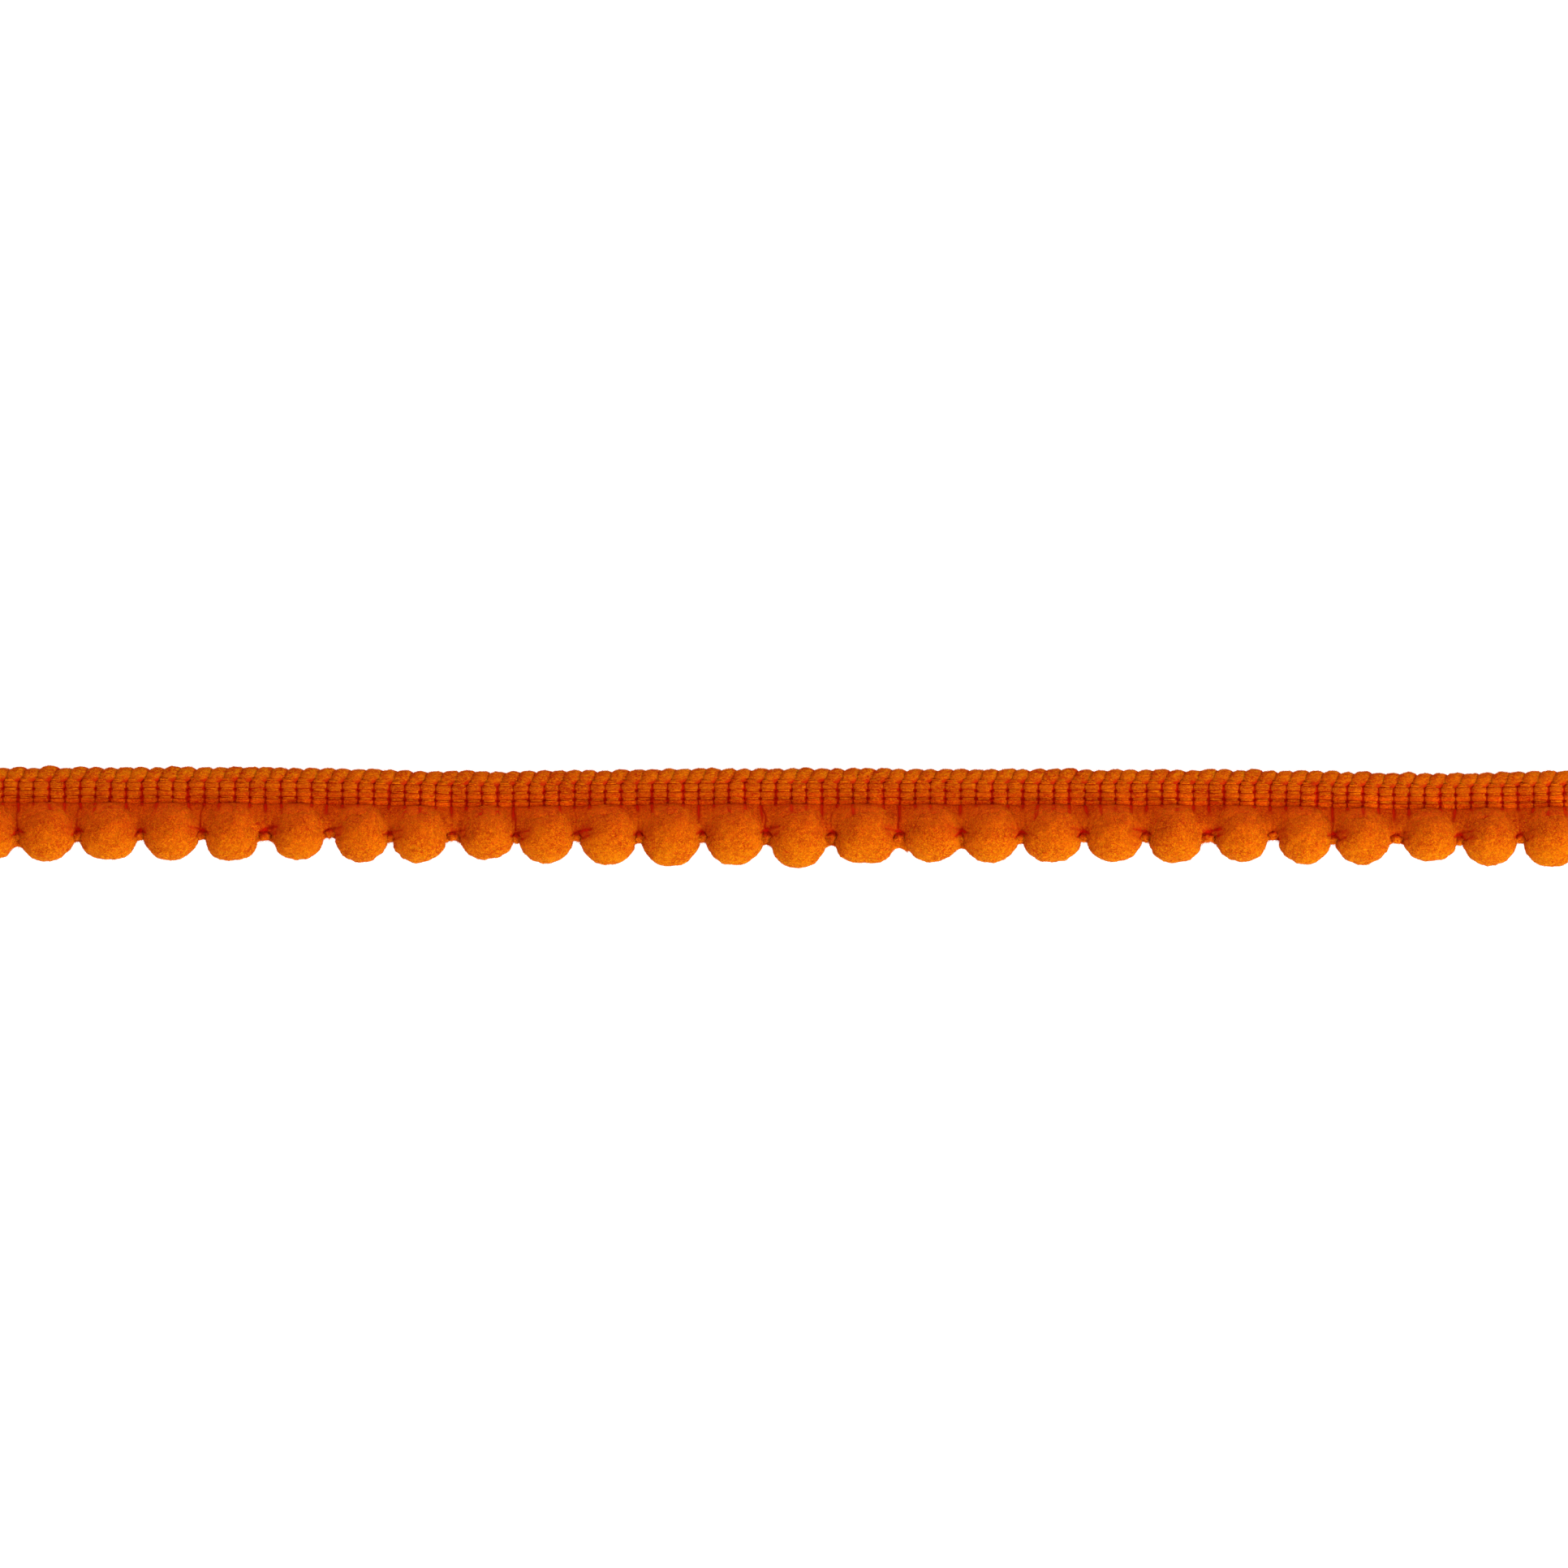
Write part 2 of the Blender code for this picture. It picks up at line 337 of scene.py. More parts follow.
# The loose fibres are a lighter, yellower orange than the yarn they lie on: painted light, for the
# light that the fuzz lets through.
loose_fibre = yarn_material(
    "loose fibre", (0.46, 0.055, 0.0), (0.80, 0.180, 0.0),
    grain=0.30 * MM, stretch=(1, 1, 1), bump=0.0, sinking=0.0,
)
print("materials:", [m.name for m in bpy.data.materials])

# %% [markdown]
# ## Fuzz
#
# Soft yarn never has a clean skin: fibre ends lie all over it and blur its outline. A hair
# system would do, but it only exists in the render. Geometry nodes scatter real fibres
# instead: each is a three-sided cone of four faces, laid almost flat on the surface. None
# grow in the creases. Brushed fibres all point one way, turned to lie along the surface.

# %% Two ways to turn a fibre
BRUSHED_LIFT = 0.15


def brushed_turn(tree, way, normal):
    """A turn that points every fibre the brushed way, laid against the surface."""
    flat = add_node(tree, "ShaderNodeVectorMath", operation="PROJECT")
    along = add_node(tree, "ShaderNodeVectorMath", operation="SUBTRACT")
    raised = add_node(tree, "ShaderNodeVectorMath", operation="MULTIPLY_ADD")
    raised.inputs[1].default_value = (BRUSHED_LIFT, BRUSHED_LIFT, BRUSHED_LIFT)
    turn = add_node(tree, "FunctionNodeAlignRotationToVector", axis="Z")
    for first, second in (
        (way, flat.inputs[0]),
        (normal, flat.inputs[1]),
        (way, along.inputs[0]),
        (flat.outputs[0], along.inputs[1]),
        (normal, raised.inputs[0]),
        (along.outputs[0], raised.inputs[2]),
        (raised.outputs[0], turn.inputs["Vector"]),
    ):
        tree.links.new(first, second)
    return turn.outputs[0]


def scattered_turn(tree, tilt, upright):
    """A turn that tilts every fibre its own way from upright."""
    turn = add_node(tree, "FunctionNodeRotateRotation", rotation_space="LOCAL")
    tree.links.new(upright, turn.inputs[0])
    tree.links.new(tilt, turn.inputs[1])
    return turn.outputs[0]


print("brushed fibres rise by", BRUSHED_LIFT, "of their length")

# %% Fuzz nodes
FIBRE_RADIUS = 0.021 * MM
FIBRE_SIZES = (0.6, 1.3)
BARE_CREASE = 0.32


def fuzz(piece, per_square_mm, length, tilts, seed, brushed=None):
    """Scatter fibres over a piece.

    Tilts are the least and most from upright, in radians. Brushed is the two corners of the
    box that the fibres' ways are drawn from, and takes the place of the tilts.
    """
    tree = bpy.data.node_groups.new(f"fuzz on {piece.name}", "GeometryNodeTree")
    for name, way in (("Piece", "INPUT"), ("Fuzzy piece", "OUTPUT")):
        tree.interface.new_socket(name, in_out=way, socket_type="NodeSocketGeometry")
    start, end = add_node(tree, "NodeGroupInput"), add_node(tree, "NodeGroupOutput")
    scatter = add_node(tree, "GeometryNodeDistributePointsOnFaces")
    dial(scatter, Density=per_square_mm / MM**2, Seed=seed)
    depth = add_node(tree, "GeometryNodeInputNamedAttribute")
    dial(depth, Name="crease")
    shallow = add_node(tree, "FunctionNodeCompare", operation="LESS_THAN")
    dial(shallow, B=BARE_CREASE)
    fibre = add_node(tree, "GeometryNodeMeshCone")
    dial(fibre, Vertices=3, Radius_Bottom=FIBRE_RADIUS, Depth=length)
    sow = add_node(tree, "GeometryNodeInstanceOnPoints")
    size = add_node(tree, "FunctionNodeRandomValue", data_type="FLOAT")
    size.inputs[2].default_value, size.inputs[3].default_value = FIBRE_SIZES
    dial(size, Seed=seed + 1)
    lie = add_node(tree, "FunctionNodeRandomValue", data_type="FLOAT_VECTOR")
    dial(lie, Seed=seed + 2)
    if brushed:
        lie.inputs[0].default_value, lie.inputs[1].default_value = brushed
        turn = brushed_turn(tree, lie.outputs[0], scatter.outputs["Normal"])
    else:
        lie.inputs[0].default_value = (tilts[0], 0, 0)
        lie.inputs[1].default_value = (tilts[1], 0, math.tau)
        turn = scattered_turn(tree, lie.outputs[0], scatter.outputs["Rotation"])
    real = add_node(tree, "GeometryNodeRealizeInstances")
    dye = add_node(tree, "GeometryNodeSetMaterial")
    dial(dye, Material=loose_fibre)
    both = add_node(tree, "GeometryNodeJoinGeometry")
    for first, second in (
        (start.outputs[0], scatter.inputs["Mesh"]),
        (depth.outputs["Attribute"], shallow.inputs["A"]),
        (shallow.outputs[0], scatter.inputs["Selection"]),
        (scatter.outputs["Points"], sow.inputs["Points"]),
        (fibre.outputs["Mesh"], sow.inputs["Instance"]),
        (turn, sow.inputs["Rotation"]),
        (size.outputs[1], sow.inputs["Scale"]),
        (sow.outputs[0], real.inputs[0]),
        (real.outputs[0], dye.inputs["Geometry"]),
        (dye.outputs[0], both.inputs[0]),
        (start.outputs[0], both.inputs[0]),
        (both.outputs[0], end.inputs[0]),
    ):
        tree.links.new(first, second)
    piece.modifiers.new("fuzz", "NODES").node_group = tree


print("no fuzz where a crease is deeper than", BARE_CREASE)

# %% [markdown]
# ## Tubes of yarn
#
# A yarn that turns and swells along its way could be a curve with a bevel, but a curve is
# always round. Here a flat grid is rolled up: its rows become rings along the path, each with
# its own width and thickness, so a yarn can be pinched where a thread binds it. The long
# edges are then welded and the two ends filled.

# %% A helper that rolls a grid into a yarn
FULLNESS = 0.78
FINE_LUMP = 0.45 * MM
SEAM_WELD = 0.00001 * MM
# How far out to a side the painted crease shade begins and is whole, and its depth on the left
# and on the right of the way along, each at the start and at the end.
SIDE_SHADES = (0.74, 0.93, (1, 1), (1, 1))
# Below this rise, a share of the half thickness, the yarn's back has one depth of painted shade
# instead.
BACK_BEGINS = -0.2
BACK_SHADE = 0.5
# Rises between which a spread yarn widens towards its back.
SPREAD_RISES = (0.45, -0.10)


def fuller(value):
    """A cosine or sine swollen towards 1, which makes a round section squarer."""
    return math.copysign(abs(value) ** FULLNESS, value)


def roll_yarn(bm, crease, stations, sides, roughness, spread=0, shades=None, upright=False):
    """A tube through stations of (centre, half width, half thickness, crease depth).

    The half that faces down is spread at least this wide, so that no gap opens to a neighbour.
    Shades are given as SIDE_SHADES is. Upright rings don't tilt with the path.
    """
    begins, whole, *side_shades = shades or SIDE_SHADES
    rings = len(stations)
    made = bmesh.ops.create_grid(bm, x_segments=sides, y_segments=rings - 1, size=1)["verts"]
    frames = []
    for index, station in enumerate(stations):
        ahead = stations[min(index + 1, rings - 1)][0]
        behind = stations[max(index - 1, 0)][0]
        along = ahead - behind
        along = Vector((along.x, along.y, 0 if upright else along.z)).normalized()
        across = along.cross(Vector((0, 0, 1))).normalized()
        frames.append((*station, across, across.cross(along).normalized()))
    for vertex in made:
        turn = math.pi * (vertex.co.x + 1)
        share = (vertex.co.y + 1) / 2
        centre, half_width, half_height, depth, across, up = frames[round(share * (rings - 1))]
        side, rise = fuller(math.cos(turn)), fuller(math.sin(turn))
        width = mix(half_width, max(half_width, spread), smooth(*SPREAD_RISES, rise))
        around = across * width * side + up * half_height * rise
        spot = centre + around
        spot += around.normalized() * roughness * noise.noise(spot / FINE_LUMP)
        spot.z = max(spot.z, 0)
        vertex.co = spot
        # The sides where neighbours meet, and the back, get painted crease shade.
        shade = side_shades[side > 0]
        side_crease = smooth(begins, whole, abs(side)) * mix(*shade, share)
        vertex[crease] = max(depth, side_crease if rise > BACK_BEGINS else BACK_SHADE * max(shade))


def weld_and_close(bm):
    """Weld every rolled seam, fill the open ends and turn all faces outwards."""
    bmesh.ops.remove_doubles(bm, verts=bm.verts, dist=SEAM_WELD)
    open_edges = [edge for edge in bm.edges if edge.is_boundary]
    bmesh.ops.holes_fill(bm, edges=open_edges, sides=0)
    bmesh.ops.recalc_face_normals(bm, faces=bm.faces)


print("seams are welded within", SEAM_WELD / MM, "mm")

# %% [markdown]
# ## The heading's columns
#
# In the real trim a thick soft yarn runs to and fro across the heading, and fine threads bind
# it along three lines. Each pass is a column: full and rounded between the lines, drawn in on
# them. One column could be copied by an array, but then all would be alike. The sections
# repeat down the column, so a short table says it all, and a loop rolls each column from it
# with a little stray of its own.

# %% Sizes of the heading
COLUMN_COUNT = 107
heading_low, heading_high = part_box("heading")
column_pitch = (heading_high.x - heading_low.x) / COLUMN_COUNT
HEADING_TOP = 5.18 * MM
HEADING_WIDTH = 3.80 * MM
BINDING_LINES = (1.39 * MM, 2.30 * MM, 3.17 * MM)
PLACE_STRAY = 0.06 * MM
random.seed(11)
column_places = [
    heading_low.x + (number + 0.5) * column_pitch + random.uniform(-PLACE_STRAY, PLACE_STRAY)
    for number in range(COLUMN_COUNT)
]
print(f"{COLUMN_COUNT} columns, {column_pitch / MM:.3f} mm apart")

# %% Sections of a column
# Distance from a binding line, half width and height of the crest, in mm, and depth of painted
# crease shade.
PINCH = [
    (-0.24, 0.90, 1.47, 0.0),
    (-0.15, 0.82, 1.40, 0.2),
    (-0.08, 0.68, 1.33, 0.65),
    (0.08, 0.68, 1.33, 0.65),
    (0.15, 0.82, 1.40, 0.2),
    (0.24, 0.90, 1.47, 0.0),
]
CREST = (0.455, 0.93, 1.54, 0.0)
# Distance below the top edge, and the same.
COLUMN_TOP = [(1.00, 0.50, 0.70, 1.0), (1.14, 0.70, 1.2, 0.3)]
COLUMN_BOTTOM = [(3.62, 0.88, 1.42, 0.0), (3.80, 0.84, 1.34, 0.0), (3.92, 0.76, 1.12, 0.4)]
column_sections = [(down * MM, *section) for down, *section in COLUMN_TOP]
for line in BINDING_LINES:
    beside = PINCH if line == BINDING_LINES[-1] else PINCH + [CREST]
    column_sections += [(line + away * MM, *section) for away, *section in beside]
column_sections += [(down * MM, *section) for down, *section in COLUMN_BOTTOM]
print("sections down a column:", len(column_sections))

# %% Columns
COLUMN_SIDES = 16
COLUMN_ROUGHNESS = 0.07 * MM
BACK_HEIGHT = 0.10 * MM
BACK_HALF_WIDTH = 1.02 * MM
# How far columns differ: in plumpness, in lean, and in their place across the trim, in mm.
COLUMN_PLUMP = (0.95, 1.03)
COLUMN_LEAN = (-0.05, 0.05)
COLUMN_SHIFT = (-0.05, 0.05)
# The first and the last column have no neighbour on one side, and get no painted crease shade
# there. A column is rolled downwards, so its left side is the right one of the way along.
FIRST_SHADES = (0.74, 0.93, (1, 1), (0, 0))
LAST_SHADES = (0.74, 0.93, (0, 0), (1, 1))
bm = bmesh.new()
crease = bm.verts.layers.float.new("crease")
for number, place in enumerate(column_places):
    plump = random.uniform(*COLUMN_PLUMP)
    lean = random.uniform(*COLUMN_LEAN)
    shift = random.uniform(*COLUMN_SHIFT) * MM
    stations = []
    for down, half_width, crest, depth in column_sections:
        x = place + lean * (down - BINDING_LINES[1])
        middle = (crest * MM * plump + BACK_HEIGHT) / 2
        centre = Vector((x, HEADING_TOP - down + shift + sway(x), middle))
        stations.append((centre, half_width * MM * plump, middle - BACK_HEIGHT, depth))
    shades = {0: FIRST_SHADES, COLUMN_COUNT - 1: LAST_SHADES}.get(number)
    spread = 0 if shades else BACK_HALF_WIDTH
    roll_yarn(bm, crease, stations, COLUMN_SIDES, COLUMN_ROUGHNESS, spread, shades, upright=True)
weld_and_close(bm)
columns = object_from(bm, "heading_columns", heading_yarn)
fuzz(columns, 24, 0.20 * MM, (1.25, 1.52), seed=1)
print("columns:", len(columns.data.polygons), "faces")

# %% [markdown]
# ## Loops along the top edge
#
# At the edge the yarn turns back to make the next column. On the face side each turn shows as
# a short slanted strand that rises out of one column, leans to the right, and dives over the
# edge. The strands touch, so the edge looks like a rope with a scalloped outline. A twisted
# rope along the edge would look alike from afar, but its turns wouldn't meet the columns. So
# every strand is rolled by itself, along a path that starts in its own column.

# %% Edge loops
# Along from the column's middle, distance below the top edge, height of the middle, half
# width and half thickness, all in mm, and depth of painted crease shade.
LOOP_STATIONS = [
    (-0.34, 1.40, 0.66, 0.46, 0.36, 0.3),
    (-0.16, 1.26, 0.80, 0.64, 0.46, 0.05),
    (0.06, 1.10, 0.88, 0.74, 0.54, 0.0),
    (0.30, 0.94, 0.91, 0.79, 0.58, 0.0),
    (0.54, 0.82, 0.90, 0.80, 0.59, 0.0),
    (0.78, 0.74, 0.86, 0.78, 0.58, 0.0),
    (1.02, 0.70, 0.82, 0.74, 0.56, 0.0),
    (1.26, 0.69, 0.77, 0.69, 0.53, 0.15),
    (1.48, 0.72, 0.70, 0.62, 0.49, 0.5),
    (1.66, 0.80, 0.61, 0.52, 0.44, 0.8),
    (1.78, 0.92, 0.53, 0.40, 0.38, 1.0),
]
LOOP_SIDES = 14
LOOP_ROUGHNESS = 0.12 * MM
LOOP_SHADES = (0.40, 0.76, (0.42, -0.10), (0.45, 0.75))
# How far loops differ: in plumpness, in height at the edge, in mm, and in reach along it.
LOOP_PLUMP = (0.93, 1.08)
LOOP_RISE = (-0.09, 0.09)
LOOP_REACH = (0.88, 1.10)
# Distances below the top edge between which the rise sets in.
RISE_BETWEEN = (1.5 * MM, 0.6 * MM)
# The last loop has no column to lean over, so it is short and has little painted crease shade.
LAST_REACH = 0.4
LAST_DEPTH = 0.3
bm = bmesh.new()
crease = bm.verts.layers.float.new("crease")
for place in column_places:
    is_last = place == column_places[-1]
    plump = random.uniform(*LOOP_PLUMP)
    rise = random.uniform(*LOOP_RISE) * MM
    reach = LAST_REACH if is_last else random.uniform(*LOOP_REACH)
    stations = []
    for *sizes, depth in LOOP_STATIONS:
        along, down, height, half_width, half_thickness = (size * MM for size in sizes)
        x = place + along * reach
        lift = rise * smooth(*RISE_BETWEEN, down)
        centre = Vector((x, HEADING_TOP - down + lift + sway(x), height))
        depth *= LAST_DEPTH if is_last else 1
        stations.append((centre, half_width * plump, half_thickness, depth))
    roll_yarn(bm, crease, stations, LOOP_SIDES, LOOP_ROUGHNESS, shades=LOOP_SHADES)
weld_and_close(bm)
loops = object_from(bm, "edge_loops", heading_yarn)
fuzz(loops, 24, 0.24 * MM, (1.25, 1.55), seed=2)
print("loops:", len(loops.data.polygons), "faces")

# %% [markdown]
# ## Binding threads
#
# Two fine threads run side by side along each binding line, the upper one sunk a little deeper
# into the yarn. They arch over every column and dive into the groove beside it. Rolled grids
# could make them, but a thread this fine has no shape to its section. So each is a curve with a
# round bevel, its points worked out by a loop, and then made a mesh.

# %% A helper for threads
# Heights between which a thread goes from no painted crease shade into deep painted shade.
THREAD_SHADES = (1.20 * MM, 0.95 * MM)
THREAD_WELD = 0.0001 * MM


def thread_mesh(name, routes, radius, resolution, material):
    """Round threads through their routes, as one mesh object."""
    curve = bpy.data.curves.new(name, "CURVE")
    curve.dimensions = "3D"
    curve.bevel_depth = radius
    curve.bevel_resolution = resolution
    curve.use_fill_caps = True
    for route in routes:
        spline = curve.splines.new("POLY")
        spline.points.add(len(route) - 1)
        for point, spot in zip(spline.points, route):
            point.co = (*spot, 1)
    holder = link(bpy.data.objects.new(name + " route", curve))
    evaluated = holder.evaluated_get(bpy.context.evaluated_depsgraph_get())
    mesh = bpy.data.meshes.new_from_object(evaluated)
    bm = bmesh.new()
    bm.from_mesh(mesh)
    bmesh.ops.remove_doubles(bm, verts=bm.verts, dist=THREAD_WELD)
    bmesh.ops.recalc_face_normals(bm, faces=bm.faces)
    crease = bm.verts.layers.float.new("crease")
    for vertex in bm.verts:
        vertex[crease] = smooth(*THREAD_SHADES, vertex.co.z)
    bpy.data.objects.remove(holder, do_unlink=True)
    return object_from(bm, name, material)


print("a thread is deep in a crease below", THREAD_SHADES[1] / MM, "mm")

# %% Binding threads
THREAD_RADIUS = 0.052 * MM
PAIR_HALF_GAP = 0.040 * MM
ARCH_HEIGHT = 1.41 * MM
GROOVE_HEIGHT = 0.75 * MM
SUNK_BELOW = 0.05 * MM
# How far arches differ: in bow and tilt, as a share of the most there is, and in lift, in mm.
ARCH_BOW = 0.06 * MM
BOW_SHARES = (-0.2, 1.0)
ARCH_TILT = 0.12 * MM
ARCH_LIFTS = (-0.03, 0.05)
# Share of a column's width from its middle, and how high the thread lies there, 0 to 1.
ARCH = [(-0.5, 0.0), (-0.40, 0.3), (-0.32, 0.8), (-0.1, 1.0), (0.1, 1.0), (0.32, 0.8), (0.40, 0.3)]
routes = []
for line in BINDING_LINES:
    for side in (-1, 1):
        route = []
        for place in column_places:
            bow = random.uniform(*BOW_SHARES) * ARCH_BOW * side
            tilt = random.uniform(-1, 1) * ARCH_TILT
            lift = random.uniform(*ARCH_LIFTS) * MM - (SUNK_BELOW if side > 0 else 0)
            for share, height in ARCH:
                x = place + share * column_pitch
                offset = side * PAIR_HALF_GAP + bow * height + tilt * share * height
                y = HEADING_TOP - line + offset + sway(x)
                route.append((x, y, mix(GROOVE_HEIGHT, ARCH_HEIGHT + lift, height)))
        routes.append(route)
binders = thread_mesh("binding_threads", routes, THREAD_RADIUS, 1, fine_thread)
print("binding threads:", len(binders.data.polygons), "faces")

# %% [markdown]
# ## Places of the balls
#
# The balls differ, as hand-fed fluff does, but the machine repeats every fifteen. A short
# table says how each strays, how wide it is, how far it hangs below the thread, and how square
# it is.

# %% Places of the balls
BALL_COUNT = 26
BALL_PITCH = 6.70 * MM
THREAD_LINE = -1.60 * MM
THREAD_HEIGHT = 2.70 * MM
# Stray along the trim, half width and drop below the thread, in mm, and squareness, which is 2
# for an ellipse.
BALL_REPEAT = [
    (0.81, 3.06, 3.12, 2.1), (0.28, 3.10, 3.25, 1.95), (0.14, 3.10, 3.05, 2.45),
    (0.05, 3.06, 3.08, 2.05), (-0.15, 2.79, 3.05, 2.75), (0.23, 2.81, 2.95, 2.2),
    (0.26, 2.91, 3.12, 2.0), (-0.29, 2.97, 2.98, 2.1), (0.23, 2.91, 2.59, 2.15),
    (-0.18, 3.00, 3.05, 2.0), (-0.28, 3.10, 3.32, 2.05), (-0.28, 3.15, 3.54, 2.2),
    (-0.24, 3.15, 3.40, 2.3), (-0.11, 3.08, 3.81, 2.2), (0.32, 3.15, 3.27, 3.2),
]


def ball_facts(number):
    """A ball's middle along the trim, with its half width, drop and squareness."""
    stray, half_width, drop, squareness = BALL_REPEAT[number % len(BALL_REPEAT)]
    middle = (number - (BALL_COUNT - 1) / 2) * BALL_PITCH + stray * MM
    return middle, half_width * MM, drop * MM, squareness


middles = [ball_facts(number)[0] for number in range(BALL_COUNT)]
gaps = [(a + b) / 2 for a, b in zip(middles, middles[1:])]
ends = (middles[0] - BALL_PITCH / 2, middles[-1] + BALL_PITCH / 2)
print(f"first ball at {middles[0] / MM:.1f} mm, last at {middles[-1] / MM:.1f} mm")

# %% [markdown]
# ## Creases beside the knots
#
# Between two balls the thread draws the yarn into a knot, and the knot pulls creases into
# the balls and the yarn around it. They could be carved with a brush in the editor, but a
# script can't repeat that. So a few short lines are listed, as seen from the knot, and the
# distance to the nearest line says how deep a crease is: how far it is dented in, and how much
# painted shade it gets. Some are mirrored, as the fluff is fed from the other side there.

# %% Creases beside the knots
# Start and end of each line from the knot's middle, in mm, and depth.
KNOT_CREASES = [
    ((-0.65, -0.10), (-0.10, 0.20), 0.8),
    ((-0.10, 0.20), (0.52, -0.50), 1.0),
    ((0.52, -0.50), (1.20, -0.15), 0.6),
    ((-0.05, 0.22), (1.35, 0.52), 0.8),
]
KNOT_CREASE_WIDTH = 0.12
# How far the creases of a knot stray from the table, along and across the trim, in mm.
STRAY_ALONG = 0.1
STRAY_ACROSS = 0.12
# How deep the last two lines are, as a share of the table's depth.
THIRD_SHARES = (0.3, 1)
FOURTH_SHARES = (0, 1)
# Gaps of the repeat where the creases point to the left instead, and how weak they are there.
MIRRORED = (0, 1, 2, 3, 13, 14)
MIRRORED_SHARE = 0.6


def nearest(x, places):
    """The nearest of some places, as its number and its distance."""
    number = min(range(len(places)), key=lambda i: abs(x - places[i]))
    return number, abs(x - places[number])


def from_knot(x, y):
    """The nearest gap's number and a place seen from its knot, in mm, mirrored if need be."""
    number = nearest(x, gaps)[0]
    turn = -1 if number % len(BALL_REPEAT) in MIRRORED else 1
    return number, Vector((turn * (x - gaps[number]) / MM, (y - THREAD_LINE) / MM, 0))


def knot_crease(x, y):
    """How deep the creases round the nearest knot are at a place, 0 to 1."""
    number, place = from_knot(x, y)
    place += knot_strays[number]
    deepest = 0
    for (start, end, depth), share in zip(KNOT_CREASES, crease_shares[number]):
        start, end = Vector((*start, 0)), Vector((*end, 0))
        along = geometry.intersect_point_line(place, start, end)[1]
        closest = start.lerp(end, min(1, max(0, along)))
        away = (place - closest).length / KNOT_CREASE_WIDTH
        deepest = max(deepest, share * depth * math.exp(-away * away))
    return deepest


knot_strays, crease_shares = [], []
for gap in gaps:
    along = random.uniform(-STRAY_ALONG, STRAY_ALONG)
    knot_strays.append(Vector((along, random.uniform(-STRAY_ACROSS, STRAY_ACROSS), 0)))
for number in range(len(gaps)):
    arm = MIRRORED_SHARE if number % len(BALL_REPEAT) in MIRRORED else 1
    third, fourth = random.uniform(*THIRD_SHARES), random.uniform(*FOURTH_SHARES)
    crease_shares.append((1, 1, arm * third, arm * fourth))
print("creases round each knot:", len(KNOT_CREASES))

# %% [markdown]
# Round a knot, and on the next ball's flank beside it, the yarn lies in shade. Neither
# makes a line, so both count as a shallow crease with soft edges, which paints the shade in.

# %% Painted shade beside the knots
# The painted shade round a knot: its reach in mm, and how much of a crease it counts as.
ROUND_KNOT_REACH = 0.55
ROUND_KNOT_SHADE = 0.45
# The painted shade on the next ball's flank: its middle and reach from the knot, in mm, and the
# least and most depth.
FLANK = (1.05, 0.30)
FLANK_REACH = (0.65, 0.85)
FLANK_SHADES = (0.12, 0.40)


def shade_round_knot(x, y):
    """How deep the painted shade round the nearest knot is."""
    place = from_knot(x, y)[1]
    return ROUND_KNOT_SHADE * math.exp(-((place.length / ROUND_KNOT_REACH) ** 2))


def shade_on_flank(x, y):
    """How deep the painted shade on a ball's flank beside the nearest knot is."""
    number, place = from_knot(x, y)
    aside = (place.x - FLANK[0]) / FLANK_REACH[0]
    above = (place.y - FLANK[1]) / FLANK_REACH[1]
    shaded = mix(*FLANK_SHADES, crease_shares[number][-1])
    return shaded * math.exp(-aside * aside - above * above)


print("pressed yarn at the first knot:", round(shade_round_knot(gaps[0], THREAD_LINE), 2))

# %% [markdown]
# ## The felted balls
#
# Each ball is fluff tied on a thread that runs through it from side to side, trimmed and
# rolled until it felts. Displaced noise on a round sphere would make 26 balls that differ by
# chance, but here the outlines are known. So a sphere is moulded point by point: squared
# towards the table of outlines, narrower above the thread, drawn in where the thread enters,
# lumpy, creased by its knots, and flat where it rests. Its poles point along the thread, where
# the points are needed most.

# %% Outline and face of a ball
BALL_RISE = 2.95 * MM
# Ways from a ball's middle, as seen from above, between which its lower half turns into its
# upper one: -1 is straight down and 1 straight up.
UPPER_HALF = (-0.5, 0.9)
NARROWING = 0.90
UPPER_SQUARENESS = 2.4
SAG = 1.2 * MM
# How steeply the face falls away outside the outline, in heights of the thread for each reach.
STEEPNESS = 2
NEXT_TO_NOTHING = 1e-9


def outline_reach(across, along, half_width, half_length, squareness):
    """How far a squared ellipse reaches from its centre in one direction."""
    total = (abs(across) / half_width) ** squareness + (abs(along) / half_length) ** squareness
    return total ** (-1 / squareness)


def ball_outline(number, across, along):
    """Reach of a ball's outline in one direction, seen from above."""
    _, half_width, drop, squareness = ball_facts(number)
    upper = smooth(*UPPER_HALF, along)
    half_width *= mix(1, NARROWING, upper)
    squareness = mix(squareness, UPPER_SQUARENESS, upper)
    return outline_reach(across, along, half_width, mix(drop, BALL_RISE, upper), squareness)


def sag(share, along):
    """How far a ball's side towards the heading hangs down."""
    return SAG * smooth(*UPPER_HALF, along) * min(share, 1) ** 2


def ball_top(number, x, y):
    """Height of a ball's face at a place. Outside the ball it falls away steeply."""
    middle = ball_facts(number)[0]
    dx, dy = x - middle, y - THREAD_LINE
    spread = max(math.hypot(dx, dy), NEXT_TO_NOTHING)
    share = spread / ball_outline(number, dx / spread, dy / spread)
    rise = math.sqrt(1 - share**2) if share < 1 else STEEPNESS * (1 - share)
    return THREAD_HEIGHT * (1 + rise) - sag(share, dy / spread)


print(f"the first ball reaches {ball_outline(0, 0, -1) / MM:.2f} mm below the thread")

# %% A point of a ball
DIMPLE_DEPTH = 0.45 * MM
DIMPLE_WIDTH = 0.50 * MM
# Lumps of the surface: their height, and how many fit a ball's radius.
LUMPS = [(0.10 * MM, 1.7), (0.16 * MM, 4.5), (0.06 * MM, 12)]
